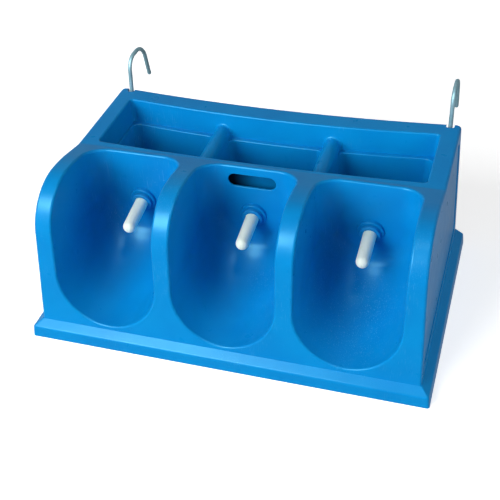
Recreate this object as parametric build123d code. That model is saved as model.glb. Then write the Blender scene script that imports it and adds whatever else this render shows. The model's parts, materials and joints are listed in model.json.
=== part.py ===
from build123d import *
from math import acos, atan2, cos, pi, radians, sin, sqrt, tan
import os

# A calf teat feeder with three places. One rotationally moulded shell, open underneath, has three
# head bays in front with high ribs between them, and three milk tanks behind. Each bay has a long
# rubber teat on a threaded adaptor with a non-return ball, and two bent bar hooks hang the feeder
# on a rail. X runs along the feeder, the calves stand on the -Y side, and the floor is Z = 0.

# The moulded shell: walls and foot
skin = 5.0
foot_length = 900.0
foot_depth = 565.0
foot_corner_radius = 6.0
band_height = 26.0
band_inset = 2.7
slope_height = 13.0
slope_width = 19.0
foot_edge_radius = 8.0

# The moulded shell: body above the foot
rim_height = 336.0
side_draft = 1.9
side_corner_radius = 12.0
back_bow = 22.0
rim_edge_radius = 6.0

# The moulded shell: the ribs beside the calves' heads
crown_rise = 19.5
crown_setback = 163.5
shoulder_radius = 112.0
rise_straight = 69.8
rise_fillet = 28.0

# The moulded shell: shallow panels in the end walls
panel_depth = 2.0
panel_margin = 24.0
panel_back_margin = 34.0
panel_corner_radius = 18.0
panel_edge_radius = 1.2

# Head bays, one for each name
place_names = ("left", "middle", "right")
rib_width = 38.7
end_rib_width = 47.6
bay_sill_step = 9.0
bay_depth = 284.0
bay_floor_below_teat = 67.0
bay_floor_curve = 0.94
bay_stations = 6
bay_narrowing = 4.0
bay_back_radius = 52.0
bay_edge_radius = 5.0

# Milk tanks
middle_wall = 34.7
rim_start = 14.5
tank_end_wall = 41.9
tank_back_wall = 52.7
tank_front_bow = 12.0
tank_corner_radius = 9.0
tank_edge_radius = 4.0
tank_depth = 146.0
well_draft = 4.0
ledge_drop = 58.0
ledge_back_step = 12.0
ledge_step = 5.0
ledge_edge_radius = 3.0
pocket_draft = 3.0
pocket_corner_radius = 18.0
pocket_floor_radius = 12.0
divider_width = 36.0
divider_drop = 30.0
divider_end_radius = 6.0

# Hand hole into the middle wall
hand_hole_length = 110.0
hand_hole_height = 32.0
hand_hole_drop = 34.5
hand_hole_edge = 1.5

# Teat seats in the wall
teat_above_floor = 23.0
teat_droop = 9.1
seat_border = 3.0
seat_edge_radius = 2.0
seat_thickness = 10.0
seat_recess_taper = 2.0
seat_hole_clearance = 0.5
wrench_gap = 6.2

# Adaptor, seal, back nut and cap
adaptor_tail_radius = 12.5
adaptor_tail_end = 4.0
adaptor_head_radius = 20.0
adaptor_head = 3.2
adaptor_chamfer = 0.6
seal_thickness = 1.0
seal_clearance = 0.2
back_nut_flats = 36.0
back_nut_height = 7.0
cap_wall = 3.0
cap_lip = 1.8
cap_edge_radius = 1.6
cap_gap = 0.2
thread_clearance = 0.05
nut_chamfer_angle = 30.0
hexagon_sides = 6

# Non-return ball in the adaptor
ball_radius = 5.5
ball_travel = 3.0
ball_side_gap = 1.1
ball_seat_radius = 4.0
ball_seat_wall = 2.0
ball_stop_width = 2.0
ball_clearance = 0.05

# Rubber teat
teat_flange_gap = 1.2
teat_flange = 2.5
teat_root_radius = 15.0
teat_tip_radius = 14.4
teat_length = 96.0
teat_bore_radius = 9.5
teat_end_wall = 9.0
teat_slit_length = 7.0
teat_slit_width = 0.8
teat_clearance = 0.3

# Hooks and the grooves that hold them
hook_end_inset = 25.4
hook_inset = 10.5
hook_radius = 5.0
hook_stem_radius = 4.0
hook_stem_clearance = 0.06
hook_lean = 6.0
hook_rise = 78.0
hook_front_radius = 32.0
hook_back_radius = 50.0
hook_reach = 95.4
hook_flare = 13.1
hook_tip_drop = 17.4
hook_seat_drop = 36.0
hook_straight = 8.0
hook_root_radius = 24.0
hook_shelf = 10.0
hook_play = 0.1
hook_thread = 14.0
groove_gap = 4.5
groove_radius = 5.0
nut_space_gap = 5.0
nut_space_below = 16.0
washer_radius = 8.0
washer_thickness = 1.6
washer_clearance = 0.3
hook_nut_flats = 13.0
hook_nut_height = 6.5
hook_end_radius = 2.0
hook_end_chamfer = 0.8

# Allowances for cuts that run past a surface, and for points that touch
past = 30.0
touching = 0.01

# The foot and the body
front = -foot_depth / 2
back = foot_depth / 2
slope_top = band_height + slope_height
body_front = front + band_inset + slope_width
body_half = foot_length / 2 - band_inset - slope_width
body_slope = tan(radians(side_draft))
rim_half = body_half - (rim_height - slope_top) * body_slope

# The tanks
bay_back = front + bay_depth
tank_front_y = bay_back + middle_wall
tank_back_y = back - tank_back_wall
tank_half = rim_half - tank_end_wall
tank_floor = rim_height - tank_depth
ledge_level = rim_height - ledge_drop
divider_top = rim_height - divider_drop

# The ribs' outline: the rise is a circle that meets a straight line from the rim
crown_height = rim_height + crown_rise
crown_y = front + crown_setback
rise_y = bay_back + rim_start
rise_radius = ((rise_y - crown_y) ** 2 + crown_rise**2 - rise_straight**2) / (2 * crown_rise)

# The bays, which share the length that the ribs leave
places = len(place_names)
teat_level = tank_floor + teat_above_floor
bay_width = (2 * (body_half - end_rib_width) - (places - 1) * rib_width) / places
bay_half = bay_width / 2
place_pitch = bay_width + rib_width
bay_sill = slope_top + bay_sill_step
bay_floor_rise = teat_level - bay_floor_below_teat - bay_sill - bay_narrowing / 2
hand_hole_level = rim_height - hand_hole_drop

# The teat's fittings, by their distance out of the wall
head_face = seal_thickness + adaptor_head
flange_face = head_face + teat_flange
teat_flange_radius = adaptor_head_radius - teat_flange_gap
cap_radius = adaptor_head_radius + cap_wall
tail_end = -seat_thickness - back_nut_height - adaptor_tail_end
seat_hole_radius = adaptor_tail_radius + seat_hole_clearance
seat_recess_radius = back_nut_flats / 2 / cos(pi / hexagon_sides) + wrench_gap
seat_radius = seat_recess_radius + seat_border
adaptor_bore = ball_radius + ball_side_gap
ball_seated = tail_end + ball_seat_wall + sqrt(ball_radius**2 - ball_seat_radius**2) + ball_clearance
ball_rest = ball_seated + ball_travel
ball_stop = ball_rest + ball_radius + ball_clearance

# The hooks and their grooves
hook_x = rim_half - hook_end_inset
hook_y = back - hook_inset
hook_seat = rim_height - hook_seat_drop
hook_top = rim_height + hook_rise
hook_tip = rim_height - hook_tip_drop
groove_width = 2 * (hook_radius + groove_gap)
groove_depth = hook_inset + hook_radius + groove_gap
nut_space_width = 2 * (washer_radius + nut_space_gap)
nut_space_height = hook_thread + nut_space_below


def places_x():
    """X of each place's middle."""
    middle = (places - 1) / 2
    return [(index - middle) * place_pitch for index in range(places)]


def dividers_x():
    """X of each wall between two places."""
    return [x + place_pitch / 2 for x in places_x()[:-1]]


def plan(half, y_front, y_back, bow_front, bow_back, corner, z):
    """A level outline with straight ends, whose long sides bow towards the front."""
    with BuildSketch(Plane.XY.offset(z)) as sketch:
        with BuildLine():
            long_side(-half, half, y_front, bow_front)
            Line((half, y_front), (half, y_back))
            long_side(half, -half, y_back, bow_back)
            Line((-half, y_back), (-half, y_front))
        make_face()
        if corner:
            fillet(sketch.vertices(), corner)
    return sketch.sketch.faces()[0]


def long_side(start, end, y, bow):
    """One long side of an outline, bowed in its middle or straight."""
    if bow:
        ThreePointArc((start, y), (0, y - bow), (end, y))
    else:
        Line((start, y), (end, y))


def ruled(*faces):
    """A solid with straight flanks from one level outline to the next."""
    solid = loft(faces[:2], ruled=True)
    for lower, upper in zip(faces[1:], faces[2:]):
        solid += loft([lower, upper], ruled=True)
    return solid


def tangent_point(point, centre, radius, side):
    """Where the tangent from a point meets a circle, on the side of the turn given."""
    away_y, away_z = point[0] - centre[0], point[1] - centre[1]
    distance = sqrt(away_y**2 + away_z**2)
    angle = atan2(away_z, away_y) + side * acos(radius / distance)
    return (centre[0] + radius * cos(angle), centre[1] + radius * sin(angle))


def body_profile(inset):
    """The side outline of the body: front, rounded shoulder, crown, rise from the rim, rim."""
    shoulder = (crown_y, crown_height - shoulder_radius)
    rise = (crown_y, crown_height - rise_radius)
    foot = (body_front, slope_top)
    kink = (rise_y, rim_height)
    foot_meets = tangent_point(foot, shoulder, shoulder_radius, -1)
    rise_meets = tangent_point(kink, rise, rise_radius, 1)
    crown = (crown_y, crown_height)
    with BuildSketch(Plane.YZ) as sketch:
        with BuildLine():
            Line((back + past, 0), (body_front, 0))
            Line((body_front, 0), foot)
            Line(foot, foot_meets)
            RadiusArc(foot_meets, crown, shoulder_radius)
            RadiusArc(crown, rise_meets, rise_radius)
            Line(rise_meets, kink)
            Line(kink, (back + past, rim_height))
            Line((back + past, rim_height), (back + past, 0))
        make_face()
        fillet(sketch.vertices().sort_by_distance(kink)[0], rise_fillet)
        if inset:
            offset(amount=-inset, mode=Mode.REPLACE)
    return sketch.sketch.faces()[0]


def side_half(z, inset):
    """Half the body's length at a height."""
    return body_half - (z - slope_top) * body_slope - inset


def on_rim(edge):
    """Whether an edge of the body lump is one of the upper or front edges that the mould rounds."""
    box = edge.bounding_box()
    if box.max.Z < slope_top + touching:
        return False
    if box.size.X > foot_length / 2:
        return box.max.Y > tank_back_y
    return box.size.Z < rim_height / 2 or box.max.Y < 0


def body_block(inset):
    """The body as one solid lump, or its inside when inset by the skin."""
    corner = side_corner_radius - inset
    outlines = []
    for z in (-past if inset else 0, crown_height + past):
        outlines.append(plan(side_half(z, inset), front - foot_depth, back - inset, 0, back_bow, corner, z))
    return extrude(body_profile(inset), foot_length, both=True) & ruled(*outlines)


def foot_block(inset):
    """The stepped foot: an upright band and a slope on the front and ends, mitred at the corners."""
    drop = inset * cos(atan2(slope_height, slope_width))
    low = -past if inset else 0
    steps = (
        (0, low),
        (band_inset, band_height - drop),
        (band_inset + slope_width, slope_top - drop),
    )
    front_side = foot_profile(Plane.YZ, front + inset, back + past, steps, not inset)
    end_side = foot_profile(Plane.XZ, inset - foot_length / 2, 0, steps, not inset)
    end_side += mirror(end_side, Plane.YZ)
    foot = extrude(front_side, foot_length, both=True) & extrude(end_side, foot_length, both=True)
    if not inset:
        foot = fillet(foot.edges().filter_by(on_mitre), foot_corner_radius)
    return foot & extrude(plan(foot_length / 2, front, back - inset, 0, back_bow, 0, low), slope_top - low)


def on_mitre(edge):
    """Whether an edge of the foot lies on the mitre of one of its front corners."""
    box = edge.bounding_box()
    return box.size.Z > band_inset and box.size.X < 2 * slope_width and box.max.Y < body_front + skin


def foot_profile(plane, start, end, steps, rounded):
    """One side outline of the foot, from its outer edge to its middle."""
    points = [(start + step, z) for step, z in steps]
    with BuildSketch(plane) as sketch:
        with BuildLine():
            Polyline(*points, (end, points[-1][1]), (end, points[0][1]), close=True)
        make_face()
        if rounded:
            fillet(sketch.vertices().sort_by_distance(points[1])[0], foot_edge_radius)
    return sketch.sketch


def bay_section(y, grow):
    """The bay's U outline at one depth: straight sides and a round bottom that rises backwards."""
    share = max(0.0, (y - body_front) / (bay_back - body_front))
    half = bay_half - bay_narrowing * share / 2 + grow
    climbed = 1 - sqrt(1 - (bay_floor_curve * min(share, 1)) ** 2)
    whole_climb = 1 - sqrt(1 - bay_floor_curve**2)
    middle = bay_sill + bay_half + bay_floor_rise * climbed / whole_climb
    top = crown_height + past
    with BuildSketch(Plane(origin=(0, y, 0), x_dir=(1, 0, 0), z_dir=(0, -1, 0))) as sketch:
        with BuildLine():
            Line((-half, top), (-half, middle))
            ThreePointArc((-half, middle), (0, middle - half), (half, middle))
            Line((half, middle), (half, top))
            Line((half, top), (-half, top))
        make_face()
    return sketch.sketch.faces()[0]


def bay_tool(grow):
    """What a bay takes out of the body: a scoop with a blended back."""
    mouth = front - past
    reach = bay_back + grow - body_front
    stations = [mouth, body_front]
    for step in range(1, bay_stations + 1):
        stations.append(body_front + reach * sin(pi / 2 * step / bay_stations))
    scoop = loft([bay_section(y, grow) for y in stations])
    back_face = scoop.faces().sort_by(Axis.Y)[-1]
    rim = back_face.edges().filter_by(lambda e: e.center().Z < crown_height + past - touching)
    return fillet(rim, bay_back_radius + grow)


def divider(shrink):
    """A wall between two tanks with a half-round top."""
    radius = divider_width / 2 - shrink
    centre = divider_top - divider_width / 2
    base = tank_floor - shrink
    flare = (centre - base) * tan(radians(pocket_draft))
    with BuildSketch(Plane.XZ) as sketch:
        with BuildLine():
            Line((-radius - flare, base), (-radius, centre))
            ThreePointArc((-radius, centre), (0, centre + radius), (radius, centre))
            Line((radius, centre), (radius + flare, base))
            Line((radius + flare, base), (-radius - flare, base))
        make_face()
    return extrude(sketch.sketch, foot_depth, both=True)


def tank_levels(levels, grow, step_ends, step_back, draft, corner):
    """Outlines of the tanks' walls at two heights, each drawn in with depth."""
    faces = []
    for z in levels:
        taper = (levels[0] - z) * tan(radians(draft))
        faces.append(
            plan(
                tank_half - step_ends - taper + grow,
                tank_front_y + step_ends + taper - grow,
                tank_back_y - step_back - taper + grow,
                tank_front_bow,
                back_bow,
                corner + grow if corner else 0,
                z,
            )
        )
    return faces


def tank_tool(grow):
    """What the tanks take out: one wide well down to the ledge, and a pocket for each place."""
    top = rim_height + past
    spread = past * tan(radians(well_draft))
    step_in = ledge_drop * tan(radians(well_draft))
    levels = (top, ledge_level - grow)
    well = ruled(*tank_levels(levels, grow, -spread, -spread, well_draft, tank_corner_radius))
    levels = (ledge_level, tank_floor - grow)
    ends_in, back_in = step_in + ledge_step, step_in + ledge_back_step
    below = ruled(*tank_levels(levels, grow, ends_in, back_in, pocket_draft, 0))
    dividers = [Pos(x, 0, 0) * divider(grow) for x in dividers_x()]
    walled = well - dividers
    outlines = new_edges(well, *dividers, combined=walled)
    divider_ends = outlines.filter_by(lambda e: e.bounding_box().size.Y < divider_width)
    tanks = fillet(divider_ends, divider_end_radius + grow)
    for pocket in (below - dividers).solids():
        tanks += rounded_pocket(pocket, grow) - dividers
    return tanks


def rounded_pocket(pocket, grow):
    """A tank below the ledge with its upright corners, floor edges and mouth rounded."""
    upright = pocket.edges().filter_by(lambda e: e.bounding_box().size.Z > ledge_drop)
    pocket = pocket.fillet(pocket_corner_radius + grow, upright)
    if grow:
        return pocket
    pocket = pocket.fillet(pocket_floor_radius, pocket.faces().sort_by(Axis.Z)[0].edges())
    above = Box(foot_length, foot_depth, past, align=(Align.CENTER, Align.CENTER, Align.MIN))
    above = Pos(0, 0, ledge_level) * above
    joined = (pocket + above).solids()[0]
    on_ledge = joined.edges().filter_by_position(Axis.Z, ledge_level - touching, ledge_level + touching)
    mouth = on_ledge.filter_by(lambda e: e.length < tank_half)
    return joined.fillet(ledge_edge_radius, mouth) - above


def panel_tool(grow):
    """What the shallow panels take out of the end walls, parallel to the walls and their outline."""
    margin = panel_margin - grow
    window = Box(2 * foot_length, foot_depth, crown_height, align=(Align.CENTER, Align.MAX, Align.MIN))
    window = Pos(0, back - panel_back_margin + grow, slope_top + margin) * window
    outline = extrude(body_profile(margin), foot_length, both=True) & window
    across = outline.edges().filter_by(Axis.X)
    corners = across.sort_by(Axis.Y)[-2:] + across.sort_by(Axis.Z)[:2].sort_by(Axis.Y)[:1]
    outline = fillet(corners, panel_corner_radius + grow)
    floors = []
    for z in (0, crown_height):
        floors.append(plan(side_half(z, panel_depth + grow), front - past, back + past, 0, 0, 0, z))
    return outline - ruled(*floors)


def hand_hole_tool():
    """The hand hole, through the skin of the middle bay into the hollow of the middle wall."""
    with BuildSketch(Plane.XZ) as sketch:
        SlotOverall(hand_hole_length, hand_hole_height)
    return Pos(0, bay_back - past, hand_hole_level) * extrude(sketch.sketch, -(past + 2 * skin))


def station(x):
    """The place of one teat: local Z points out of the wall along the drooping teat."""
    droop = radians(teat_droop)
    proud = seat_radius * sin(droop)
    outward = (0, -cos(droop), -sin(droop))
    return Location(Plane(origin=(x, bay_back - proud, teat_level), x_dir=(1, 0, 0), z_dir=outward))


def seat_recess(grow):
    """The round recess from the tank to the back of a teat's seat."""
    depth = tank_front_y + ledge_step + past - bay_back
    wide = seat_recess_radius + grow + depth * tan(radians(seat_recess_taper))
    cone = Cone(seat_recess_radius + grow, wide, depth, align=(Align.CENTER, Align.CENTER, Align.MIN))
    return Rot(180, 0, 0) * Pos(0, 0, seat_thickness - grow) * cone


def groove_tools(grow):
    """The open groove round a hook's stem and the space for its nut below the shelf."""
    inner = back - groove_depth - grow
    shelf = hook_seat - hook_shelf
    spans = (
        (groove_width, hook_seat - grow, rim_height + past),
        (nut_space_width, shelf - nut_space_height - grow, shelf + grow),
    )
    tools = []
    for width, low, high in spans:
        half = width / 2 + grow
        block = Box(2 * half, back + past - inner, high - low, align=(Align.CENTER, Align.MIN, Align.MIN))
        block = Pos(0, inner, low) * block
        corners = block.edges().filter_by(Axis.Z).sort_by(Axis.Y)[:2]
        tools.append(fillet(corners, groove_radius))
    return tools


def rounded_cut(body, tool, radius):
    """A lump less a tool, with the edges of the cut rounded."""
    cut = body - tool
    return fillet(new_edges(body, tool, combined=cut), radius)


def seat():
    """The round pad that carries a teat."""
    pad = Cylinder(seat_radius, seat_thickness, align=(Align.CENTER, Align.CENTER, Align.MAX))
    return fillet(pad.edges().sort_by(Axis.Z)[-1], seat_edge_radius)


def feeder_body():
    """The whole moulding: the outer lump, less the inside that keeps one skin's distance everywhere."""
    body = body_block(0)
    body = fillet(body.edges().filter_by(on_rim), rim_edge_radius)
    body = rounded_cut(body, panel_tool(0), panel_edge_radius) + foot_block(0)
    inside = body_block(skin) - panel_tool(skin) + foot_block(skin)
    bay, bay_skin = bay_tool(0), bay_tool(skin)
    for x in places_x():
        body = rounded_cut(body, Pos(x, 0, 0) * bay, bay_edge_radius)
        inside -= Pos(x, 0, 0) * bay_skin
    body = rounded_cut(body, tank_tool(0), tank_edge_radius)
    inside -= tank_tool(skin)
    body = rounded_cut(body, hand_hole_tool(), hand_hole_edge)
    for x in (-hook_x, hook_x):
        body -= [Pos(x, 0, 0) * tool for tool in groove_tools(0)]
        inside -= [Pos(x, 0, 0) * tool for tool in groove_tools(skin)]
    for x in places_x():
        body -= station(x) * seat_recess(0)
        inside -= station(x) * seat_recess(skin)
    body -= inside
    seat_hole = Cylinder(seat_hole_radius, seat_thickness + past)
    stem_hole = Cylinder(hook_stem_radius + hook_stem_clearance, hook_shelf + past)
    for x in places_x():
        body += station(x) * seat()
        body -= station(x) * seat_hole
    for x in (-hook_x, hook_x):
        body -= Pos(x, hook_y, hook_seat - hook_shelf / 2) * stem_hole
    return body


def disc(radius, bottom, top):
    """A round piece on the teat's axis between two distances from the seat's face."""
    return Pos(0, 0, bottom) * Cylinder(radius, top - bottom, align=(Align.CENTER, Align.CENTER, Align.MIN))


def hexagon(flats, bottom, top):
    """A hexagonal bar between two heights, with its outer corners taken off at both ends."""
    corner = flats / 2 / cos(pi / hexagon_sides)
    depth = (corner - flats / 2) * tan(radians(nut_chamfer_angle))
    outline = RegularPolygon(flats / 2, hexagon_sides, major_radius=False)
    bar = Pos(0, 0, bottom) * extrude(outline, top - bottom)
    taper = Cone(flats / 2, corner, depth, align=(Align.CENTER, Align.CENTER, Align.MIN))
    lower = Pos(0, 0, bottom) * taper
    upper = Pos(0, 0, top) * Rot(180, 0, 0) * taper
    return bar & (lower + disc(corner, bottom + depth, top - depth) + upper)


def adaptor():
    """The threaded adaptor through the wall, with the ball's seat at its tank end and a bar across."""
    piece = disc(adaptor_tail_radius, tail_end, seal_thickness)
    piece += disc(adaptor_head_radius, seal_thickness, head_face)
    rim = piece.edges().filter_by(GeomType.CIRCLE).sort_by(Axis.Z)
    piece = chamfer([rim[0], rim[-1]], adaptor_chamfer)
    piece -= disc(adaptor_bore, tail_end + ball_seat_wall, head_face + past)
    piece -= disc(ball_seat_radius, tail_end - past, tail_end + past)
    stop = Pos(0, 0, ball_stop) * Box(
        2 * adaptor_bore + ball_stop_width,
        ball_stop_width,
        ball_stop_width,
        align=(Align.CENTER, Align.CENTER, Align.MIN),
    )
    return piece + stop


def ball():
    """The non-return ball, resting outward against the bar."""
    return Pos(0, 0, ball_rest) * Sphere(ball_radius)


def seal():
    """The flat rubber ring between the adaptor's head and the seat."""
    hole = disc(adaptor_tail_radius + seal_clearance, -past, past)
    return disc(adaptor_head_radius, 0, seal_thickness) - hole


def back_nut():
    """The hexagonal nut that pulls the adaptor against the seat from the tank side."""
    outer = -seat_thickness
    nut = hexagon(back_nut_flats, outer - back_nut_height, outer)
    return nut - disc(adaptor_tail_radius + thread_clearance, outer - past, past)


def cap():
    """The round cap that clamps the teat's flange."""
    shut = flange_face + cap_lip
    piece = disc(cap_radius, seal_thickness + cap_gap, shut)
    piece = fillet(piece.edges().sort_by(Axis.Z)[-1], cap_edge_radius)
    piece -= disc(adaptor_head_radius + thread_clearance, -past, flange_face)
    return piece - disc(teat_root_radius + teat_clearance, 0, shut + past)


def teat():
    """The long rubber teat: flange, tapering barrel with a round end, bore and crossed slits."""
    tip = head_face + teat_length
    round_start = tip - teat_tip_radius
    bore_end = tip - teat_end_wall
    bore_round = bore_end - teat_bore_radius
    with BuildSketch(Plane.XZ) as sketch:
        with BuildLine():
            Polyline(
                (teat_bore_radius, head_face),
                (teat_flange_radius, head_face),
                (teat_flange_radius, flange_face),
                (teat_root_radius, flange_face),
                (teat_tip_radius, round_start),
            )
            RadiusArc((teat_tip_radius, round_start), (0, tip), -teat_tip_radius)
            Line((0, tip), (0, bore_end))
            RadiusArc((0, bore_end), (teat_bore_radius, bore_round), teat_bore_radius)
            Line((teat_bore_radius, bore_round), (teat_bore_radius, head_face))
        make_face()
    piece = revolve(sketch.sketch, Axis.Z)
    slit = Pos(0, 0, tip) * Box(teat_slit_length, teat_slit_width, 3 * teat_end_wall)
    return piece - slit - Rot(0, 0, 90) * slit


def hook():
    """A bent bar: threaded stem, upright, rounded top and flared leg, standing on its shelf."""
    lean = tan(radians(hook_lean))
    flare = tan(radians(hook_flare))
    bend = hook_straight + hook_root_radius * tan(radians(hook_lean / 2))
    rise = hook_top - hook_seat - bend
    points = (
        (0, 0, 0),
        (0, 0, bend),
        (0, rise * lean, rise + bend),
        (0, hook_reach, rise + bend),
        (0, hook_reach + (hook_top - hook_tip) * flare, hook_tip - hook_seat),
    )
    path = FilletPolyline(*points, radius=(hook_root_radius, hook_front_radius, hook_back_radius))
    bar = sweep(Plane.XY * Circle(hook_radius), path)
    bar = fillet(bar.edges().filter_by(GeomType.CIRCLE).sort_by(Axis.Y)[-1], hook_end_radius)
    stem_length = hook_shelf + hook_thread
    stem = Cylinder(hook_stem_radius, stem_length, align=(Align.CENTER, Align.CENTER, Align.MAX))
    stem = chamfer(stem.edges().sort_by(Axis.Z)[0], hook_end_chamfer)
    return bar + stem


def hook_washer():
    """The plain washer below the shelf."""
    top = -hook_shelf - hook_play
    return disc(washer_radius, top - washer_thickness, top) - disc(
        hook_stem_radius + washer_clearance, top - past, past
    )


def hook_nut():
    """The hexagonal nut below the washer."""
    top = -hook_shelf - hook_play - washer_thickness
    nut = hexagon(hook_nut_flats, top - hook_nut_height, top)
    return nut - disc(hook_stem_radius + thread_clearance, top - past, past)


def pieces():
    """Every piece by its node name, placed on the standing feeder."""
    placed = {"feeder_body": feeder_body()}
    for name, x in zip(place_names, places_x()):
        at = station(x)
        placed["teat_" + name] = at * teat()
        placed["cap_" + name] = at * cap()
        placed["adaptor_" + name] = at * adaptor()
        placed["seal_" + name] = at * seal()
        placed["back_nut_" + name] = at * back_nut()
        placed["valve_ball_" + name] = at * ball()
    for name, x in (("left", -hook_x), ("right", hook_x)):
        at = Pos(x, hook_y, hook_seat)
        placed["hook_" + name] = at * hook()
        placed["hook_washer_" + name] = at * hook_washer()
        placed["hook_nut_" + name] = at * hook_nut()
    return placed


def main():
    """Build every piece, centre the whole on the origin and write the files."""
    placed = pieces()
    hooks = placed["hook_right"].bounding_box()
    shift = -(front + hooks.max.Y) / 2
    os.makedirs("parts", exist_ok=True)
    for name, shape in placed.items():
        export_step(Pos(0, shift, 0) * shape, os.path.join("parts", name + ".step"))
    print("moved along Y by", shift)
    for name, x in zip(place_names, places_x()):
        print("seat", name, (Pos(0, shift, 0) * station(x)).position)
    print("hooks at", hook_x, hook_y + shift, hook_seat)


main()
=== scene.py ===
"""A calf teat feeder: a blue moulded shell with head bays and milk tanks, rubber teats and bar hooks.

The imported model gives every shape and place. This script dresses each piece in its finish, adds the
screw threads that show, and sets the light, the floor and the camera of the photograph.
"""

import json
import logging
import math
from collections.abc import Sequence
from dataclasses import dataclass
from enum import Enum
from functools import cached_property
from typing import Union

import bmesh
import bpy
from mathutils import Matrix, Vector


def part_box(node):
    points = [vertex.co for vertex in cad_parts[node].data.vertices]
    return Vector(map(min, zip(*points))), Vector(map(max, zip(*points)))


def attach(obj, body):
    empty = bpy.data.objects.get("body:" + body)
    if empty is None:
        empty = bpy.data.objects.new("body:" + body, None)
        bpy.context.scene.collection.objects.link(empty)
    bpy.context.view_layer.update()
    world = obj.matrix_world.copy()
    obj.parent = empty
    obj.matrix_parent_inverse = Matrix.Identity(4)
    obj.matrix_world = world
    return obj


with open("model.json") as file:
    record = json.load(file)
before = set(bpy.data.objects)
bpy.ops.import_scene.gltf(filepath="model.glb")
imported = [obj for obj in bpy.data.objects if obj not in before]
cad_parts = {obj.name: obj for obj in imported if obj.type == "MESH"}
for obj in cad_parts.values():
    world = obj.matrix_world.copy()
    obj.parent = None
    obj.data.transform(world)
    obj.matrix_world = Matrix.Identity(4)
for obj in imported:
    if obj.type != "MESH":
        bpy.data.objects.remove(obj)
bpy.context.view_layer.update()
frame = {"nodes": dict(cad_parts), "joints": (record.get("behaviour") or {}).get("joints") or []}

LOG = logging.getLogger("feeder")
MILLIMETRE = 0.001
# The share of the white surround that reflections show
MIRRORED = 0.3

Colour = tuple[float, float, float]
Triple = tuple[float, float, float]
Span = tuple[float, float]
Number = Union[float, "Value"]


def linear(red: int, green: int, blue: int) -> Colour:
    """Turn a display colour into the linear one that shaders take.

    Args:
        red: Display red, 0 to 255.
        green: Display green, 0 to 255.
        blue: Display blue, 0 to 255.

    Returns:
        The linear colour, each part 0 to 1.
    """
    knee = 0.04045
    parts = []
    for part in (red, green, blue):
        share = part / 255
        parts.append(share / 12.92 if share <= knee else ((share + 0.055) / 1.055) ** 2.4)
    return (parts[0], parts[1], parts[2])


class Value:
    """One socket's value in a material, on which Python's operators add Math nodes."""

    def __init__(self, tree: "Tree", socket: bpy.types.NodeSocket) -> None:
        """Wrap a socket of a material's tree."""
        self.tree = tree
        self.socket = socket

    def __add__(self, other: Number) -> "Value":
        """Add a value or a number."""
        return self.tree.math("ADD", self, other)

    def __radd__(self, other: Number) -> "Value":
        """Be added to a number."""
        return self.tree.math("ADD", other, self)

    def __sub__(self, other: Number) -> "Value":
        """Subtract a value or a number."""
        return self.tree.math("SUBTRACT", self, other)

    def __rsub__(self, other: Number) -> "Value":
        """Be subtracted from a number."""
        return self.tree.math("SUBTRACT", other, self)

    def __mul__(self, other: Number) -> "Value":
        """Multiply by a value or a number."""
        return self.tree.math("MULTIPLY", self, other)

    def __rmul__(self, other: Number) -> "Value":
        """Be multiplied by a number."""
        return self.tree.math("MULTIPLY", other, self)

    def clamped(self) -> "Value":
        """Keep the value between 0 and 1."""
        return self.tree.math("ADD", self, 0.0, clamp=True)

    def absolute(self) -> "Value":
        """Drop the value's sign."""
        return self.tree.math("ABSOLUTE", self)

    def ramp(self, low: float, high: float) -> "Value":
        """Rise smoothly from 0 at one value to 1 at another.

        Args:
            low: Where the result is 0.
            high: Where the result is 1; below low for a falling ramp.

        Returns:
            The eased value.
        """
        settings = {"interpolation_type": "SMOOTHSTEP"}
        inputs = {"Value": self, "From Min": low, "From Max": high, "To Min": 0.0, "To Max": 1.0}
        return self.tree.node("ShaderNodeMapRange", settings, inputs).out("Result")


class Made:
    """A node just made, for reading its outputs."""

    def __init__(self, tree: "Tree", node: bpy.types.Node) -> None:
        """Wrap a node of a material's tree."""
        self.tree = tree
        self.raw = node

    def out(self, name: str | int = 0) -> Value:
        """Give one output by its name or its place."""
        return Value(self.tree, self.raw.outputs[name])


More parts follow.
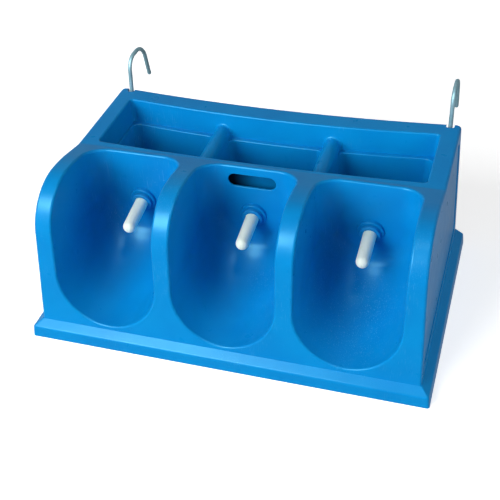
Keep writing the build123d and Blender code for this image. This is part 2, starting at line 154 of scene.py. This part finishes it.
class Tree:
    """The node tree of a new material or world."""

    def __init__(self, owner: bpy.types.Material | bpy.types.World) -> None:
        """Empty the owner's tree.

        Args:
            owner: The new material or world.
        """
        owner.use_nodes = True
        self.owner = owner
        self.nodes = owner.node_tree.nodes
        self.links = owner.node_tree.links
        self.nodes.clear()

    @cached_property
    def place(self) -> Value:
        """The object's own coordinates, in metres."""
        return self.node("ShaderNodeTexCoord").out("Object")

    def shown(self) -> Value:
        """Tell the rays that show a surround from those that carry its light.

        Returns:
            1 for camera rays, a share for reflected and transmitted ones, and 0 for light that spreads.
        """
        path = self.node("ShaderNodeLightPath")
        mirrored = path.out("Is Glossy Ray") + path.out("Is Transmission Ray")
        return (path.out("Is Camera Ray") + mirrored * MIRRORED).clamped()

    def node(
        self,
        kind: str,
        settings: dict[str, object] | None = None,
        inputs: dict[str | int, object] | None = None,
    ) -> Made:
        """Add a node, set it up, then fill or link its sockets.

        Args:
            kind: Blender's type name of the node.
            settings: Properties by name.
            inputs: Values or links by the socket's name or place.

        Returns:
            The node.
        """
        node = self.nodes.new(kind)
        for name, setting in (settings or {}).items():
            setattr(node, name, setting)
        for name, value in (inputs or {}).items():
            socket = node.inputs[name]
            if isinstance(value, Value):
                self.links.new(value.socket, socket)
            else:
                socket.default_value = value
        return Made(self, node)

    def math(self, operation: str, *values: Number, clamp: bool = False) -> Value:
        """Add a Math node on values and numbers."""
        settings = {"operation": operation, "use_clamp": clamp}
        return self.node("ShaderNodeMath", settings, dict(enumerate(values))).out()

    def minus(self, first: Value, second: Sequence[float]) -> Value:
        """Subtract a plain vector from a vector."""
        inputs = {0: first, 1: tuple(second)}
        return self.node("ShaderNodeVectorMath", {"operation": "SUBTRACT"}, inputs).out("Vector")

    def along(self, first: Value, second: Sequence[float]) -> Value:
        """Measure a vector along a direction."""
        inputs = {0: first, 1: tuple(second)}
        return self.node("ShaderNodeVectorMath", {"operation": "DOT_PRODUCT"}, inputs).out("Value")

    def parts(self) -> tuple[Value, Value, Value]:
        """Give the object's own x, y and z."""
        axes = ((1.0, 0.0, 0.0), (0.0, 1.0, 0.0), (0.0, 0.0, 1.0))
        return tuple(self.along(self.place, axis) for axis in axes)

    def mix(self, factor: Number, first: object, second: object) -> Value:
        """Blend two colours, each a value or a linear colour."""
        inputs = {0: factor, 6: self.paint(first), 7: self.paint(second)}
        return self.node("ShaderNodeMix", {"data_type": "RGBA"}, inputs).out(2)

    @staticmethod
    def paint(colour: object) -> object:
        """Give a plain colour its alpha, and leave a value as it is."""
        return colour if isinstance(colour, Value) else (*colour, 1.0)

    def crystals(self, scale: float) -> Value:
        """Add cells of that many to a metre, each with its own grey."""
        cells = self.node("ShaderNodeTexVoronoi", None, {"Vector": self.place, "Scale": scale})
        return self.node("ShaderNodeRGBToBW", None, {"Color": cells.out("Color")}).out()

    def bump(self, height: Value, depth: float, before: Value | None = None) -> Value:
        """Turn a height into a normal.

        Args:
            height: The height, 0 to 1.
            depth: How far 1 stands above 0, in metres.
            before: A normal to add to, or None.

        Returns:
            The normal.
        """
        inputs: dict[str | int, object] = {"Height": height, "Distance": depth}
        if before:
            inputs["Normal"] = before
        return self.node("ShaderNodeBump", None, inputs).out("Normal")

    def finish(
        self, colour: object, roughness: Number, normal: Value | None, **others: object
    ) -> bpy.types.Material:
        """Add the shader and the output.

        Args:
            colour: A value or a linear colour.
            roughness: A value or a number.
            normal: The normal, or None.
            **others: What other sockets take, by name, with underscores for spaces.

        Returns:
            The finished material.
        """
        inputs: dict[str | int, object] = {"Base Color": self.paint(colour), "Roughness": roughness}
        if normal:
            inputs["Normal"] = normal
        for name, value in others.items():
            inputs[name.replace("_", " ")] = value
        shader = self.node("ShaderNodeBsdfPrincipled", None, inputs)
        self.node("ShaderNodeOutputMaterial", None, {"Surface": shader.out()})
        return self.owner


@dataclass(frozen=True)
class Pattern:
    """Noise in a finish: blotches to a metre, finer layers, the part that shows, and its stretch."""

    scale: float
    detail: float = 2.0
    shows: Span | None = None
    stretch: Triple | None = None
    turn: Triple = (0.0, 0.0, 0.0)

    def on(self, tree: Tree) -> Value:
        """Add the noise to a material.

        Args:
            tree: The material's tree.

        Returns:
            The noise, or the part of it that shows, 0 to 1.
        """
        at = tree.place
        if self.stretch:
            inputs = {"Vector": at, "Rotation": self.turn, "Scale": self.stretch}
            at = tree.node("ShaderNodeMapping", None, inputs).out()
        inputs = {"Vector": at, "Scale": self.scale, "Detail": self.detail}
        noise = tree.node("ShaderNodeTexNoise", None, inputs).out("Fac")
        return noise.ramp(*self.shows) if self.shows else noise


class Side(Enum):
    """The hook ends of the feeder, seen from the calves' side."""

    LEFT = "left"
    RIGHT = "right"


class Place(Enum):
    """The calves' places along the feeder."""

    LEFT = "left"
    MIDDLE = "middle"
    RIGHT = "right"


@dataclass(frozen=True)
class PaintedHollowShade:
    """Painted shade on the space inside the middle wall, which the hand hole shows and hardly any light
    reaches.

    It lies about a leaning plane, to a depth on both sides, and ends at its sides and its top. From one
    end to the other the painted shade grows lighter. Each pair of numbers says where a limit fades out and
    in.
    """

    lean: float = 0.07
    plane: float = -0.0207
    depth: Span = (0.0097, 0.009)
    sides: Span = (0.105, 0.085)
    top: Span = (0.329, 0.323)
    lighter: Span = (-0.05, 0.02)
    lighter_share: float = 0.6

    def on(self, tree: Tree) -> Value:
        """Find the faces of the space.

        Args:
            tree: The material's tree.

        Returns:
            How much painted shade those faces get, 0 to 1, and elsewhere 0.
        """
        x, y, z = tree.parts()
        within = (y + z * self.lean - self.plane).absolute().ramp(*self.depth)
        dimmed = 1.0 - x.ramp(*self.lighter) * self.lighter_share
        return within * x.absolute().ramp(*self.sides) * z.ramp(*self.top) * dimmed


@dataclass(frozen=True)
class MouldedBlue:
    """Polyethylene from a rotating mould: satin, a little mottled, with a faint orange peel, and painted
    shade inside the middle wall.
    """

    name: str = "moulded_blue"
    colour: Colour = linear(2, 129, 196)
    deep: Colour = linear(1, 113, 184)
    pale: Colour = linear(24, 152, 214)
    scuff: Colour = linear(110, 190, 236)
    unlit: Colour = linear(1, 30, 58)
    sheen: Colour = (0.3, 0.85, 1.0)
    specular: float = 0.2
    mottle: Pattern = Pattern(9.0, 3.0, (0.35, 0.7))
    mottle_share: float = 0.5
    grain: Pattern = Pattern(900.0, 1.0, (0.3, 0.75))
    grain_share: float = 0.16
    scratches: Pattern = Pattern(90.0, 4.0, (0.66, 0.72), (1.0, 14.0, 3.0), (0.2, 0.5, 0.9))
    upright_scratches: Pattern = Pattern(26.0, 3.0, (0.6, 0.68), (26.0, 12.0, 1.0), (0.06, 0.04, 0.1))
    worn: Pattern = Pattern(5.0, 3.0, (0.45, 0.7))
    scuff_share: float = 0.3
    scuff_depth: float = 0.00002
    scuff_roughness: float = 0.12
    cloud: Pattern = Pattern(24.0, 4.0)
    roughness: float = 0.3
    roughness_spread: float = 0.14
    wave: Pattern = Pattern(14.0, 1.0)
    wave_depth: float = 0.0006
    peel: Pattern = Pattern(300.0)
    peel_depth: float = 0.00005
    painted_hollow_shade: PaintedHollowShade = PaintedHollowShade()

    def material(self) -> bpy.types.Material:
        """Make the material.

        Returns:
            The material for the shell.
        """
        tree = Tree(bpy.data.materials.new(self.name))
        scratched = (self.scratches.on(tree) + self.upright_scratches.on(tree)).clamped()
        scuffs = scratched * self.worn.on(tree)
        colour = tree.mix(self.mottle.on(tree) * self.mottle_share, self.colour, self.deep)
        colour = tree.mix(self.grain.on(tree) * self.grain_share, colour, self.pale)
        colour = tree.mix(scuffs * self.scuff_share, colour, self.scuff)
        # Painted shade: the faces inside the middle wall that the hand hole shows are blended towards the
        # unlit colour.
        colour = tree.mix(self.painted_hollow_shade.on(tree), colour, self.unlit)
        smoothest = self.roughness - self.roughness_spread / 2
        roughness = smoothest + self.cloud.on(tree) * self.roughness_spread + scuffs * self.scuff_roughness
        wave = tree.bump(self.wave.on(tree), self.wave_depth)
        peel = tree.bump(self.peel.on(tree), self.peel_depth, wave)
        cut = tree.bump(1.0 - scuffs, self.scuff_depth, peel)
        tint = tree.paint(self.sheen)
        return tree.finish(colour, roughness, cut, Specular_IOR_Level=self.specular, Specular_Tint=tint)


@dataclass(frozen=True)
class TeatRubber:
    """Pale natural rubber with a waxy sheen, mould seams along it and stains, and darker towards its root.
    """

    name: str
    origin: Vector
    outward: Vector
    length: float
    across: Triple = (1.0, 0.0, 0.0)
    colour: Colour = linear(244, 255, 238)
    root: Colour = linear(226, 248, 226)
    stain: Colour = linear(226, 242, 210)
    root_reach: float = 0.5
    root_share: float = 0.7
    blotch: Pattern = Pattern(55.0, 4.0)
    blotch_least: float = 0.55
    blotch_spread: float = 0.6
    stained: Span = (0.5, 0.8)
    stain_share: float = 0.3
    bloom: Pattern = Pattern(160.0, 3.0)
    roughness: float = 0.52
    roughness_spread: float = 0.2
    skin: Pattern = Pattern(700.0)
    skin_depth: float = 0.00008
    rings: Pattern = Pattern(60.0, stretch=(0.4, 6.0, 0.4))
    ring_depth: float = 0.00015
    seam_width: float = 0.0007
    seam_depth: float = 0.00025
    specular: float = 0.3
    translucency: float = 0.18
    light_depth: float = 0.006
    light_spread: Triple = (1.0, 1.0, 1.0)

    def material(self) -> bpy.types.Material:
        """Make the material.

        Returns:
            The material for one teat.
        """
        tree = Tree(bpy.data.materials.new(self.name))
        place = tree.minus(tree.place, self.origin)
        from_root = tree.along(place, self.outward)
        from_seam = tree.along(place, self.across).absolute()
        blotch = self.blotch.on(tree)
        # The colour darkens towards the root, broken up by the blotches.
        near_root = from_root.ramp(self.length * self.root_reach, 0.0)
        darker_near_root = (near_root * (self.blotch_least + blotch * self.blotch_spread)).clamped()
        colour = tree.mix(darker_near_root * self.root_share, self.colour, self.root)
        colour = tree.mix(blotch.ramp(*self.stained) * self.stain_share, colour, self.stain)
        roughness = self.roughness + self.bloom.on(tree) * self.roughness_spread
        skin = tree.bump(self.skin.on(tree), self.skin_depth)
        drawn = tree.bump(self.rings.on(tree), self.ring_depth, skin)
        seam = tree.bump(from_seam.ramp(self.seam_width, 0.0), self.seam_depth, drawn)
        return tree.finish(
            colour,
            roughness,
            seam,
            Specular_IOR_Level=self.specular,
            Subsurface_Weight=self.translucency,
            Subsurface_Scale=self.light_depth,
            Subsurface_Radius=self.light_spread,
        )


@dataclass(frozen=True)
class TurnedPlastic:
    """Injection-moulded plastic for caps, adaptors, nuts and balls."""

    name: str
    colour: Colour
    shade: Colour
    sheen: Colour = (1.0, 1.0, 1.0)
    specular: float = 0.4
    cloud: Pattern = Pattern(80.0, 4.0, (0.4, 0.75))
    shade_share: float = 0.25
    flow: Pattern = Pattern(240.0, 3.0, stretch=(1.0, 5.0, 1.0))
    roughness: float = 0.32
    roughness_spread: float = 0.14
    skin: Pattern = Pattern(1400.0)
    skin_depth: float = 0.00003

    def material(self) -> bpy.types.Material:
        """Make the material.

        Returns:
            The material for a small moulded piece.
        """
        tree = Tree(bpy.data.materials.new(self.name))
        colour = tree.mix(self.cloud.on(tree) * self.shade_share, self.colour, self.shade)
        roughness = self.roughness + self.flow.on(tree) * self.roughness_spread
        normal = tree.bump(self.skin.on(tree), self.skin_depth)
        tint = tree.paint(self.sheen)
        return tree.finish(colour, roughness, normal, Specular_IOR_Level=self.specular, Specular_Tint=tint)


@dataclass(frozen=True)
class SealRubber:
    """Black sheet rubber, dull and a little dusty."""

    name: str = "seal_rubber"
    colour: Colour = linear(34, 34, 36)
    dust: Colour = linear(92, 92, 88)
    dusty: Pattern = Pattern(220.0, 5.0, (0.5, 0.8))
    dust_share: float = 0.35
    roughness: float = 0.62
    roughness_spread: float = 0.2
    skin: Pattern = Pattern(1600.0)
    skin_depth: float = 0.00004

    def material(self) -> bpy.types.Material:
        """Make the material.

        Returns:
            The material for the seals.
        """
        tree = Tree(bpy.data.materials.new(self.name))
        dusty = self.dusty.on(tree)
        colour = tree.mix(dusty * self.dust_share, self.colour, self.dust)
        normal = tree.bump(self.skin.on(tree), self.skin_depth)
        return tree.finish(colour, self.roughness + dusty * self.roughness_spread, normal)


@dataclass(frozen=True)
class ZincPlate:
    """Weathered zinc on bent steel bar: cloudy spangle, fine draw lines and duller, oxidised patches."""

    name: str
    colour: Colour = linear(140, 178, 190)
    dull: Colour = linear(102, 138, 148)
    metallic: float = 0.65
    spangle: float = 260.0
    spangle_share: float = 0.25
    cloud: Pattern = Pattern(36.0, 5.0, (0.42, 0.68))
    cloud_share: float = 0.55
    spots: Pattern = Pattern(420.0, 3.0, (0.6, 0.74))
    spot_share: float = 0.25
    roughness: float = 0.52
    roughness_spread: float = 0.22
    lines: Pattern = Pattern(900.0, stretch=(6.0, 1.0, 1.0))
    spangle_height: float = 0.4
    line_height: float = 0.6
    depth: float = 0.00005

    def material(self) -> bpy.types.Material:
        """Make the material.

        Returns:
            The material for bar and fasteners.
        """
        tree = Tree(bpy.data.materials.new(self.name))
        crystal = tree.crystals(self.spangle)
        clouded = self.cloud.on(tree) * self.cloud_share
        spotted = self.spots.on(tree) * self.spot_share
        worn = (clouded + crystal * self.spangle_share + spotted).clamped()
        colour = tree.mix(worn, self.colour, self.dull)
        roughness = self.roughness + worn * self.roughness_spread
        height = crystal * self.spangle_height + self.lines.on(tree) * self.line_height
        return tree.finish(colour, roughness, tree.bump(height, self.depth), Metallic=self.metallic)


def dress(node: str, material: bpy.types.Material) -> None:
    """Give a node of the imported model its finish.

    Args:
        node: The node's name.
        material: What it wears.
    """
    piece = frame["nodes"][node]
    for slot in piece.material_slots:
        slot.material = material
    LOG.info("%s wears %s", node, material.name)


def middle_of(node: str) -> Vector:
    """Give the middle of a node's box."""
    low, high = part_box(node)
    return (Vector(low) + Vector(high)) / 2


def new_piece(name: str, mesh: bmesh.types.BMesh, material: bpy.types.Material) -> bpy.types.Object:
    """Make an object of a built mesh and add it to the scene.

    Args:
        name: The piece's name.
        mesh: Its mesh, freed here.
        material: What it wears.

    Returns:
        The object.
    """
    data = bpy.data.meshes.new(name)
    mesh.to_mesh(data)
    mesh.free()
    data.materials.append(material)
    for face in data.polygons:
        face.use_smooth = True
    piece = bpy.data.objects.new(name, data)
    bpy.context.scene.collection.objects.link(piece)
    return piece


@dataclass(frozen=True)
class ScrewThread:
    """A rounded screw thread on the outside of a rod, with how finely it is drawn."""

    root: float
    crest: float
    pitch: float
    length: float
    steps: int = 48
    rings: int = 6

    def mesh(self, at: Matrix) -> bmesh.types.BMesh:
        """Build the thread along local Z from the origin of a placing matrix.

        Args:
            at: Where the thread starts and points.

        Returns:
            The mesh of a closed threaded sleeve.
        """
        built = bmesh.new()
        turns = self.length / self.pitch
        rows = max(2, round(turns * self.rings))
        grid = []
        for row in range(rows + 1):
            height = self.length * row / rows
            ring = []
            for step in range(self.steps):
                angle = 2 * math.pi * step / self.steps
                phase = 2 * math.pi * height / self.pitch - angle
                ease = min(1.0, row / self.rings, (rows - row) / self.rings)
                radius = self.root + (self.crest - self.root) * ease * (0.5 + 0.5 * math.cos(phase))
                spot = Vector((radius * math.cos(angle), radius * math.sin(angle), height))
                ring.append(built.verts.new(at @ spot))
            grid.append(ring)
        for lower, upper in zip(grid, grid[1:]):
            for step in range(self.steps):
                after = (step + 1) % self.steps
                built.faces.new((lower[step], lower[after], upper[after], upper[step]))
        built.faces.new(reversed(grid[0]))
        built.faces.new(grid[-1])
        return built


@dataclass
class TeatStation:
    """One place's teat with its cap, adaptor, seal, back nut and ball."""

    place: Place
    thread: ScrewThread = ScrewThread(
        root=12.45 * MILLIMETRE, crest=12.85 * MILLIMETRE, pitch=2.0 * MILLIMETRE, length=3.6 * MILLIMETRE
    )

    def node(self, kind: str) -> str:
        """Give the node of one of the station's pieces."""
        return f"{kind}_{self.place.value}"

    def outward(self) -> Vector:
        """Find the direction in which the teat points, from its ball's slide.

        Returns:
            The direction, of length 1.
        """
        for joint in frame["joints"]:
            if joint["child"] == self.node("valve"):
                return Vector(joint["axis"]).normalized()
        raise ValueError(f"no slide for {self.node('valve')}")

    def dress(
        self, cap: bpy.types.Material, white: bpy.types.Material, seal: bpy.types.Material
    ) -> None:
        """Dress the station's pieces.

        Args:
            cap: The finish of the cap.
            white: The finish of the adaptor, the back nut and the ball.
            seal: The finish of the seal.
        """
        origin = middle_of(self.node("seal"))
        outward = self.outward()
        length = 2 * (middle_of(self.node("teat")) - origin).dot(outward)
        rubber = TeatRubber(self.node("teat_rubber"), origin, outward, length)
        dress(self.node("teat"), rubber.material())
        dress(self.node("cap"), cap)
        dress(self.node("seal"), seal)
        for kind in ("adaptor", "back_nut", "valve_ball"):
            dress(self.node(kind), white)
        self.add_thread(origin, outward, white)

    def add_thread(self, origin: Vector, outward: Vector, material: bpy.types.Material) -> None:
        """Cut the screw thread that shows on the adaptor's tail.

        Args:
            origin: A point on the station's axis.
            outward: The axis.
            material: The adaptor's finish.
        """
        inward = -outward
        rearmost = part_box(self.node("adaptor"))[1][1]
        lean = abs(inward.z) * self.thread.root
        behind = (rearmost - origin.y - lean) / inward.y
        start = origin + inward * (behind - self.thread.length)
        turn = Vector((0.0, 0.0, 1.0)).rotation_difference(inward).to_matrix().to_4x4()
        mesh = self.thread.mesh(Matrix.Translation(start) @ turn)
        piece = new_piece(self.node("adaptor_thread"), mesh, material)
        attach(piece, "feeder")
        LOG.info("%s added", piece.name)


@dataclass
class RailHook:
    """One bent bar hook with its washer and nut."""

    side: Side
    thread: ScrewThread = ScrewThread(
        root=3.95 * MILLIMETRE, crest=4.25 * MILLIMETRE, pitch=1.25 * MILLIMETRE, length=5.0 * MILLIMETRE
    )
    bare_tip: float = 0.79 * MILLIMETRE

    def node(self, kind: str) -> str:
        """Give the node of one of the hook's pieces."""
        return f"{kind}_{self.side.value}"

    def dress(self, bar: bpy.types.Material, fastener: bpy.types.Material) -> None:
        """Dress the hook's pieces and cut its thread.

        Args:
            bar: The finish of the bar.
            fastener: The finish of the washer and the nut.
        """
        dress(self.node("hook"), bar)
        dress(self.node("hook_washer"), fastener)
        dress(self.node("hook_nut"), fastener)
        axis = middle_of(self.node("hook_nut"))
        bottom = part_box(self.node("hook"))[0][2]
        start = Matrix.Translation((axis.x, axis.y, bottom + self.bare_tip))
        piece = new_piece(self.node("hook_thread"), self.thread.mesh(start), fastener)
        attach(piece, self.node("hook"))
        LOG.info("%s added", piece.name)


@dataclass(frozen=True)
class Viewpoint:
    """Where the photograph was taken from, found by matching the feeder's corners and edges."""

    position: Triple = (0.5517, -1.6867, 1.4973)
    yaw: float = 18.54
    pitch: float = 37.82
    roll: float = -3.217
    lens: float = 68.83
    sensor: float = 36.0
    image_pixels: float = 500.0
    axis_pixel: tuple[float, float] = (256.571, 233.163)

    def add(self) -> None:
        """Add the camera."""
        yaw, pitch, roll = (math.radians(angle) for angle in (self.yaw, self.pitch, self.roll))
        forward = Vector(
            (-math.sin(yaw) * math.cos(pitch), math.cos(yaw) * math.cos(pitch), -math.sin(pitch))
        )
        level = Vector((math.cos(yaw), math.sin(yaw), 0.0))
        up = level.cross(forward)
        right = math.cos(roll) * level + math.sin(roll) * up
        top = math.cos(roll) * up - math.sin(roll) * level
        turn = Matrix((right, top, -forward)).transposed().to_4x4()
        data = bpy.data.cameras.new("camera")
        data.lens = self.lens
        data.sensor_width = self.sensor
        data.shift_x = 0.5 - self.axis_pixel[0] / self.image_pixels
        data.shift_y = self.axis_pixel[1] / self.image_pixels - 0.5
        camera = bpy.data.objects.new("camera", data)
        camera.matrix_world = Matrix.Translation(self.position) @ turn
        bpy.context.scene.collection.objects.link(camera)
        bpy.context.scene.camera = camera
        LOG.info("camera added")


@dataclass(frozen=True)
class SoftBox:
    """A large round lamp, which can be kept out of reflections or in them alone."""

    name: str
    position: Triple
    width: float
    power: float
    reflected: bool = True
    spread: bool = True
    aim: Triple = (0.0, -0.1, 0.15)

    def add(self) -> None:
        """Add the lamp, facing its aim."""
        data = bpy.data.lights.new(self.name, "AREA")
        data.shape = "DISK"
        data.size = self.width
        data.energy = self.power
        lamp = bpy.data.objects.new(self.name, data)
        lamp.visible_glossy = self.reflected
        lamp.visible_diffuse = self.spread
        lamp.location = self.position
        towards = Vector(self.aim) - Vector(self.position)
        lamp.rotation_euler = towards.to_track_quat("-Z", "Y").to_euler()
        bpy.context.scene.collection.objects.link(lamp)
        LOG.info("lamp %s added", self.name)


@dataclass(frozen=True)
class Studio:
    """The white floor, the surrounding light, and a key, a weak fill and two lamps that only glint."""

    floor_size: float = 60.0
    floor_level: float = -0.0005
    floor_roughness: float = 0.9
    floor_colour: Colour = (0.86, 0.86, 0.86)
    floor_bounce: Colour = (0.30, 0.30, 0.30)
    near_glow: Colour = (0.6, 0.6, 0.6)
    far_glow: Colour = (0.95, 0.95, 0.95)
    near_distance: float = 1.2
    far_distance: float = 5.0
    ambient: Colour = (0.17, 0.17, 0.17)
    white: Colour = (1.0, 1.0, 1.0)
    black: Colour = (0.0, 0.0, 0.0)
    lamps: tuple[SoftBox, ...] = (
        SoftBox("key", (-2.9, -4.3, 2.8), 4.6, 460.0, reflected=False),
        SoftBox("fill", (3.0, -1.4, 1.4), 2.0, 42.0, reflected=False),
        SoftBox("glint", (-1.15, -2.2, 2.4), 1.7, 250.0, spread=False),
        SoftBox("skylight", (0.7, -0.9, 3.1), 0.5, 34.0, spread=False),
    )

    def floor_material(self) -> bpy.types.Material:
        """Make a floor that shows white, keeps the feeder's shadow and lights the feeder little.

        Returns:
            The material for the floor.
        """
        tree = Tree(bpy.data.materials.new("floor_white"))
        shown = tree.shown()
        x, y, _ = tree.parts()
        away = (x * x + y * y).ramp(self.near_distance**2, self.far_distance**2)
        glow = tree.mix(away, self.near_glow, self.far_glow)
        return tree.finish(
            tree.mix(shown, self.floor_bounce, self.floor_colour),
            self.floor_roughness,
            None,
            Specular_IOR_Level=0.0,
            Emission_Color=tree.mix(shown, self.black, glow),
            Emission_Strength=1.0,
        )

    def add_floor(self) -> None:
        """Add the floor."""
        half = self.floor_size / 2
        built = bmesh.new()
        corners = ((-half, -half), (half, -half), (half, half), (-half, half))
        built.faces.new([built.verts.new((x, y, self.floor_level)) for x, y in corners])
        floor = new_piece("floor", built, self.floor_material())
        LOG.info("floor added")

    def add_surround(self) -> None:
        """Light the feeder evenly from all round, with white behind it."""
        world = bpy.data.worlds.new("surround")
        bpy.context.scene.world = world
        tree = Tree(world)
        lit, seen = (
            tree.node("ShaderNodeBackground", None, {"Color": tree.paint(colour)}).out()
            for colour in (self.ambient, self.white)
        )
        sky = tree.node("ShaderNodeMixShader", None, {0: tree.shown(), 1: lit, 2: seen})
        tree.node("ShaderNodeOutputWorld", None, {"Surface": sky.out()})
        LOG.info("surround added")

    def add(self) -> None:
        """Add the floor, the surround and the lamps."""
        self.add_floor()
        self.add_surround()
        for lamp in self.lamps:
            lamp.add()


def main() -> None:
    """Dress the feeder, then add its surroundings and the camera."""
    logging.basicConfig(level=logging.INFO, format="%(message)s")
    bpy.context.scene.view_settings.view_transform = "Standard"
    shell = MouldedBlue()
    dress("feeder_body", shell.material())
    cap = TurnedPlastic("cap_blue", shell.colour, shell.deep, shell.sheen, roughness=0.5).material()
    white = TurnedPlastic("white_nylon", linear(226, 228, 222), linear(196, 194, 176)).material()
    seal = SealRubber().material()
    for place in Place:
        TeatStation(place).dress(cap, white, seal)
    bar = ZincPlate("zinc_bar").material()
    fastener = ZincPlate("zinc_fastener", roughness=0.3, spangle=600.0).material()
    for side in Side:
        RailHook(side).dress(bar, fastener)
    Studio().add()
    Viewpoint().add()


if __name__ == "__main__":
    main()
